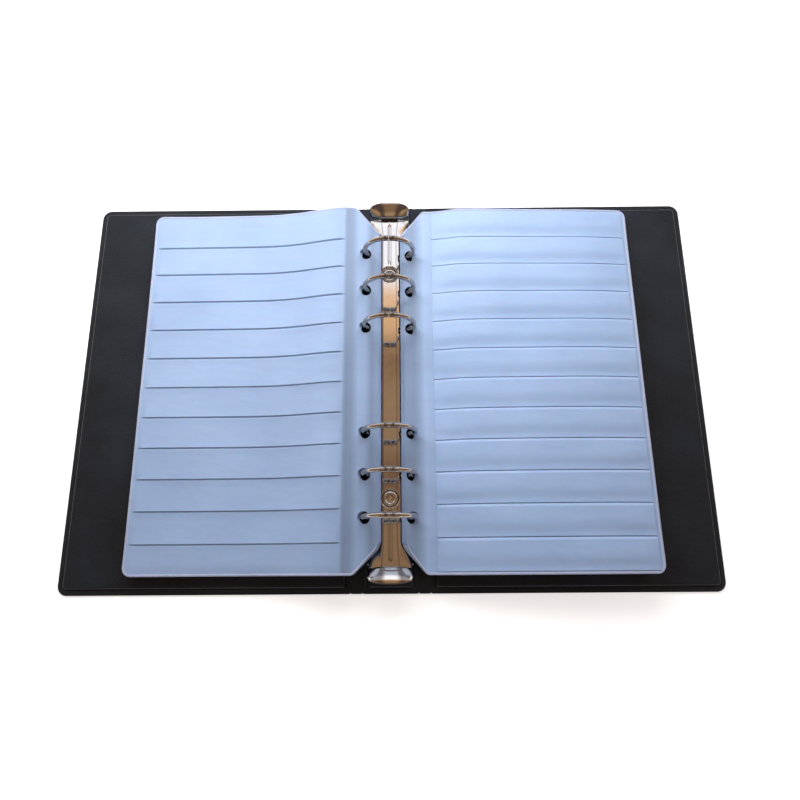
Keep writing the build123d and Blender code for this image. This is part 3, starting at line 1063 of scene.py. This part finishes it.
class Page:
    """One leaf of the album: its place in its stack and the shape it lies in."""

    def __init__(self, word, number, count):
        self.number = number
        self.count = count
        self.turned = word == "left"
        self.side = -1 if self.turned else 1
        self.on_top = number == count
        self.level = (number - 1) / (count - 1)
        self.stack = (LEFT_LOW, LEFT_HIGH) if self.turned else (RIGHT_LOW, RIGHT_HIGH)
        self.body = f"{word}_leaf" if self.on_top else f"{word}_pages"
        self.name = f"{word}_page_{number}"
        low, high = node_box(f"{self.name}_sheet")
        cad_edge = min(abs(low[0]), abs(high[0]))
        self.hole_x = cad_edge + (LEFT_HOLE_MARGIN if self.turned else RIGHT_HOLE_MARGIN)
        self.edge = cad_edge + (LEFT_TRIM if self.turned else RIGHT_TRIM)
        self.outer = max(abs(low[0]), abs(high[0]))
        self.sheet_low = STRIPS_THICK if self.turned else 0.0

    def under(self, x, y):
        """The height of the page's underside."""
        low, high = self.stack
        z_low = smooth_height(low, x)
        z_high = smooth_height(high, x)
        sway = slow_wave(x, y, PAGE_WAVE_LENGTHS, PAGE_SAMPLE * self.side)
        loose = smoothstep((x - LOOSE_FROM) / LOOSE_OVER)
        lift = self.level * loose * (PAGE_WAVE * sway + CURL * self.corner_curl(x, y))
        level_z = COVER_TOP + z_low + (z_high - z_low) * self.level
        return level_z + max(lift, LOWEST_LIFT) + self.lean(x, y)

    def lean(self, x, y):
        """The right stack lies a little higher towards its bottom edge than towards its top."""
        if self.turned:
            return 0.0
        return LEAN * self.level * smoothstep((x - LOOSE_FROM) / LEAN_OVER) * y / PAGE_HALF

    def room(self, x):
        """The height between this page's underside and the next one's."""
        low, high = self.stack
        return (smooth_height(high, x) - smooth_height(low, x)) / (self.count - 1)

    def corner_curl(self, x, y):
        away = math.hypot(self.outer - x, PAGE_HALF - abs(y))
        return smoothstep((CURL_REACH - away) / CURL_REACH) ** 2

    def half_height(self, x):
        """Half the page's height, less where its spine corners are cut away."""
        slant = CHAMFER_Y + (PAGE_HALF - CHAMFER_Y) * (x - self.edge) / (CHAMFER_X - self.edge)
        near = max(CHAMFER_SOFT - abs(slant - PAGE_HALF), 0) / CHAMFER_SOFT
        height = min(slant, PAGE_HALF) - near * near * CHAMFER_SOFT / 4
        short = max(0.0, SPINE_ROUND - (x - self.edge))
        return height - (SPINE_ROUND - math.sqrt(SPINE_ROUND**2 - short**2)) * SPINE_ROUND_SHARE

    def strip_shape(self, x, y):
        """How far the strips push the surface out, from 0 at the welds to 1."""
        if x < SEAM_X or x > self.outer - BORDER:
            return 0.0
        along = (y + STRIPS * PITCH / 2 + TURNED_SHIFT) / PITCH
        if not 0 <= along < STRIPS:
            return 0.0
        v = along - int(along)
        ends = smoothstep((x - SEAM_X) / 3.0) * smoothstep((self.outer - BORDER - x) / 2.5)
        ends *= smoothstep((PAGE_HALF - BORDER - abs(y)) / 3.0)
        fall = (1 - max(v - LIP, 0.0) / (1 - LIP)) ** LIP_FALL
        hollow = HOLLOW * smoothstep((v - 0.8) / 0.2)
        return ends * (smoothstep(v / LIP) * fall + hollow)

    def place(self, x, y):
        """Where a point of the flat page lies, seen from above."""
        half = self.half_height(x)
        return rounded(x, y * half / PAGE_HALF, self.edge, self.outer, half, (0.0, PAGE_CORNER))


def strip_rows():
    """Rows across the page, closer together at the strips' edges."""
    start = -STRIPS * PITCH / 2 - TURNED_SHIFT
    rows = [start + (k + share) * PITCH for k in range(STRIPS) for share in ROW_SHARES]
    rows = [y for y in rows if abs(y) < PAGE_HALF - 1.2]
    border = [-PAGE_HALF + f for f in (0, 0.5, 1.0)] + [PAGE_HALF - f for f in (0, 0.5, 1.0)]
    return joined_stations(rows, border, [start + STRIPS * PITCH])


def sheet_columns(page):
    """Columns along the page, closer together at its edges and at the seam."""
    near = spread(page.edge, page.edge + 3.0, 7)
    margin = spread(page.edge + 3.0, 34.0, 26)
    seam = [SEAM_X + f for f in (-0.5, -0.25, 0.0, 0.3, 1.0, 2.0)]
    wide = spread(34.0, page.outer - 6.0, 30)
    outer = [page.outer - f for f in (5, 4.2, 3.2, 2.4, 1.9, 1.5, 1.1, 0.7, 0.35, 0.12, 0.0)]
    return joined_stations(near, margin, seam, wide, outer)


def punch_holes(sheet, page):
    punches = []
    for y in RING_YS:
        x = page.side * page.hole_x
        punches.append(rod("punch", PAGE_HOLE, (x, y, COVER_TOP), (x, y, RING_Z + 4), STRIP_VINYL, 40))
    combine(sheet, [merged("punches", punches, STRIP_VINYL)], "DIFFERENCE")


def page_sheet(page):
    lip_height = TOP_LIP_HEIGHT if page.on_top else LIP_HEIGHT

    def place(x, y):
        x, y = page.place(x, y)
        z = page.under(x, y) + page.sheet_low
        if page.turned:
            z += lip_height * page.strip_shape(x, y)
        seam_dip = SEAM_DIP * math.exp(-(((x - SEAM_X + SEAM_WELD) / SEAM_HALF) ** 2))
        return (page.side * x, y, z + SHEET - seam_dip), (page.side * x, y, z)

    vinyl = LEFT_SHEET_VINYL if page.turned else RIGHT_SHEET_VINYL
    sheet = slab(f"{page.name}_film", sheet_columns(page), strip_rows(), place, vinyl)
    punch_holes(sheet, page)
    take_over(sheet, page.body, "page_sheet", f"{page.name}_sheet")


def strip_height(page, u, v, x, y):
    """The pocket film's height over the sheet: welded at the bottom and ends, open at the top."""
    ends = smoothstep(u / 0.035) * smoothstep((1 - u) / 0.03)
    pillow = 0.88 * smoothstep((v - 0.1) / 0.36) + 0.12 * v
    mouth = 1 - 0.45 * smoothstep((v - 0.93) / 0.07)
    uneven = 0.9 + 0.35 * slow_wave(x, y, POCKET_WAVE_LENGTHS, page.number * POCKET_SAMPLE)
    spare = page.room(x) - SHEET - FILM - POCKET_SPARE
    full = POCKET_FULL if page.on_top else min(POCKET_FULL, spare)
    return POCKET_GAP + max(full, 0.0) * ends * pillow * mouth * uneven


def pocket_strip(page, number):
    y0 = -STRIPS * PITCH / 2 + number * PITCH + (PITCH - STRIP_HEIGHT) / 2
    x0 = SEAM_X
    x1 = page.outer - BORDER + 0.3
    us = joined_stations(POCKET_US, spread(0.06, 0.94, 26), POCKET_END_US)

    def place(u, v):
        x = x0 + (x1 - x0) * u
        y = y0 + STRIP_HEIGHT * v
        if page.turned:
            low = page.under(x, y) + 0.1 * (1 - smoothstep(v / 0.1))
        else:
            low = page.under(x, y) + SHEET + strip_height(page, u, v, x, y)
        return (page.side * x, y, low + FILM), (page.side * x, y, low)

    return slab(f"strip_{number}", us, POCKET_VS, place, STRIP_VINYL)


def page_pockets(page):
    strips = [pocket_strip(page, number) for number in range(STRIPS)]
    pockets = merged(f"{page.name}_strips", strips, STRIP_VINYL)
    take_over(pockets, page.body, "pocket_film", f"{page.name}_pockets")


def border_outline(page, inset):
    """The page's outline but for its spine edge, moved in by a little, as points seen from above."""
    right = page.outer - inset
    edge = page.edge + inset
    top = PAGE_HALF - inset
    corner = PAGE_CORNER - inset
    arc = [math.pi / 2 * k / 8 for k in range(9)]
    along_x = spread(right - corner, CHAMFER_X + 2, 40)
    upper = [(right - corner + corner * math.cos(a), top - corner + corner * math.sin(a)) for a in arc]
    upper += [(x, page.half_height(x) - inset) for x in along_x[1:]]
    cut = spread(CHAMFER_X + 2, edge, 16)[1:]
    upper += [(x, page.half_height(max(x, page.edge + 0.02)) - inset) for x in cut]
    side = [(right, y) for y in spread(-(top - corner), top - corner, 50)]
    lower = [(x, -y) for x, y in reversed(upper)]
    return lower + side[1:-1] + upper


def page_border(page):
    """The welded border: a flat, slightly raised band round all but the page's spine edge."""
    outlines = [(border_outline(page, inset), rise) for inset, rise in BORDER_SECTION]
    section = outlines + [(outline, -BORDER_SINK) for outline, _ in reversed(outlines)]
    rings = []
    for k in range(len(outlines[0][0])):
        ring = []
        for outline, rise in section:
            x, y = outline[k]
            z = page.under(x, y) + page.sheet_low + SHEET
            ring.append((page.side * x, y, z + rise))
        rings.append(ring)
    border = tube(f"{page.name}_border", rings, WELD_VINYL)
    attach(border, page.body)


def make_pages():
    for word, count in (("left", LEFT_PAGES), ("right", RIGHT_PAGES)):
        for number in range(1, count + 1):
            page = Page(word, number, count)
            page_sheet(page)
            page_pockets(page)
            page_border(page)


# -------- camera, light and floor

# The camera's place is in millimetres and its angles are in degrees.
LENS = 28.85
SENSOR = 36.0
CAMERA_PLACE = (6.41, -85.19, 297.82)
PITCH_DOWN = 75.25
YAW = -1.28
ROLL = -1.71

# The room, as colours by how far a direction points beyond the album's top (Y, from -1 to 1), to
# either side (X, from 0 to 1) and up (Z, from 0 to 1).
ROOM_BY_DEPTH = [
    (-1.0, (0.12, 0.08, 0.06)),
    (-0.6, (0.14, 0.09, 0.06)),
    (-0.42, (0.5, 0.34, 0.19)),
    (-0.25, (0.3, 0.18, 0.1)),
    (-0.05, (0.3, 0.18, 0.1)),
    (0.06, (0.34, 0.21, 0.115)),
    (0.14, (0.2, 0.115, 0.07)),
    (0.2, (0.4, 0.26, 0.15)),
    (0.27, (0.42, 0.27, 0.155)),
    (0.31, (0.3, 0.18, 0.105)),
    (0.335, (0.3, 0.18, 0.105)),
    (0.352, (0.92, 0.57, 0.31)),
    (0.416, (1.15, 0.73, 0.39)),
    (0.426, (1.45, 1.5, 1.62)),
    (0.6, (1.4, 1.46, 1.6)),
    (0.68, (0.6, 0.68, 0.82)),
    (1.0, (0.45, 0.5, 0.6)),
]
OPEN = (1.0, 1.0, 1.0)
SHADED = (0.3, 0.28, 0.27)
ROOM_BY_SIDE = [(0.0, OPEN), (0.12, OPEN), (0.19, SHADED), (0.28, SHADED), (0.34, OPEN), (1.0, OPEN)]
ROOM_BY_HEIGHT = [(0.0, (0.8, 0.8, 0.8)), (0.04, (0.6, 0.6, 0.6))]
ROOM_BY_HEIGHT += [(0.1, (0.14, 0.12, 0.1)), (0.6, (0.1, 0.07, 0.06))]
BACKDROP = (0.92, 0.92, 0.92)
DIFFUSE_SHARE = 0.5

# Lights, in metres and watts.
WINDOW_PLACE = (-0.03, 0.165, 0.2)
WINDOW_TARGET = (0, 0.03, 0)
WINDOW_SIZE = (0.38, 0.14)
FILL_PLACE = (0.1, -0.55, 0.35)
FILL_SIZE = (0.6, 0.3)

FLOOR_HALF = 3.0
FLOOR_DROP = 0.0002


def make_camera():
    """Looks down steeply from in front of the album."""
    data = bpy.data.cameras.new("camera")
    data.lens = LENS
    data.sensor_width = SENSOR
    data.clip_start = 0.01
    down = math.radians(PITCH_DOWN)
    yaw = math.radians(YAW)
    roll = math.radians(ROLL)
    forward = Vector((math.sin(yaw) * math.cos(down), math.cos(yaw) * math.cos(down), -math.sin(down)))
    right = Vector((math.cos(yaw), -math.sin(yaw), 0))
    up = right.cross(forward)
    turned_right = right * math.cos(roll) + up * math.sin(roll)
    turned_up = up * math.cos(roll) - right * math.sin(roll)
    columns = Matrix((turned_right, turned_up, -forward)).transposed()
    camera = bpy.data.objects.new("camera", data)
    camera.matrix_world = Matrix.Translation(Vector(CAMERA_PLACE) * MM) @ columns.to_4x4()
    scene.collection.objects.link(camera)
    scene.camera = camera


def area_light(name, place, target, size, power, colour):
    """A soft light that neither the camera nor a shiny face sees."""
    data = bpy.data.lights.new(name, "AREA")
    data.shape = "RECTANGLE"
    data.size, data.size_y = size
    data.energy = power
    data.color = colour
    light = bpy.data.objects.new(name, data)
    light.location = place
    aim = Vector(target) - Vector(place)
    light.rotation_euler = aim.to_track_quat("-Z", "Y").to_euler()
    light.visible_camera = False
    light.visible_glossy = False
    scene.collection.objects.link(light)


def make_room():
    """A dim warm room with a bright window beyond the album's top. The camera sees a pale backdrop."""
    world = bpy.data.worlds.new("room")
    world.use_nodes = True
    made = Nodes(world.node_tree)
    x, y, z = made.split(made.add("TexCoord").outputs["Generated"])
    depth_stops = [((place + 1) / 2, colour) for place, colour in ROOM_BY_DEPTH]
    depth = made.colours(made.ramp(y, 0.0, 1.0, -1.0, 1.0), depth_stops)
    sides = made.colours(made.calculate("ABSOLUTE", x, 0.0), ROOM_BY_SIDE)
    height = made.colours(z, ROOM_BY_HEIGHT)
    room = made.mixed("LIGHTEN", made.mixed("MULTIPLY", depth, sides), height)
    seen = made.add("LightPath").outputs
    shown = made.add("Mix")
    shown.data_type = "RGBA"
    made.link(seen["Is Camera Ray"], shown.inputs["Factor"])
    made.link(room, shown.inputs["A"])
    shown.inputs["B"].default_value = (*BACKDROP, 1.0)
    back = made.tree.nodes["Background"]
    made.link(shown.outputs["Result"], back.inputs["Color"])
    made.link(made.ramp(seen["Is Diffuse Ray"], 1.0, DIFFUSE_SHARE), back.inputs["Strength"])
    scene.world = world


def make_lights():
    area_light("back_window", WINDOW_PLACE, WINDOW_TARGET, WINDOW_SIZE, 1.0, (0.99, 0.98, 0.97))
    area_light("front_fill", FILL_PLACE, (0, 0, 0), FILL_SIZE, 0.5, (0.9, 0.95, 1.0))


def make_floor():
    shell = bmesh.new()
    bmesh.ops.create_grid(shell, x_segments=1, y_segments=1, size=FLOOR_HALF)
    mesh = mesh_of("floor", shell)
    made = Recipe("floor_white")
    made.feed(Roughness=made.ramp(made.noise(3.0, 2.0), 0.55, 0.65))
    made.set(Base_Color=(0.93, 0.93, 0.93, 1.0), Emission_Color=(1.0, 1.0, 1.0, 1.0), Emission_Strength=0.6)
    mesh.materials.append(made.material)
    floor = bpy.data.objects.new("floor", mesh)
    floor.location = (0, 0, -FLOOR_DROP)
    scene.collection.objects.link(floor)


make_camera()
make_room()
make_lights()
make_floor()
make_covers()
make_spine_case()
make_hinge(-1, "left")
make_hinge(1, "right")
make_mechanism()
make_pages()

scene.view_settings.view_transform = "Standard"
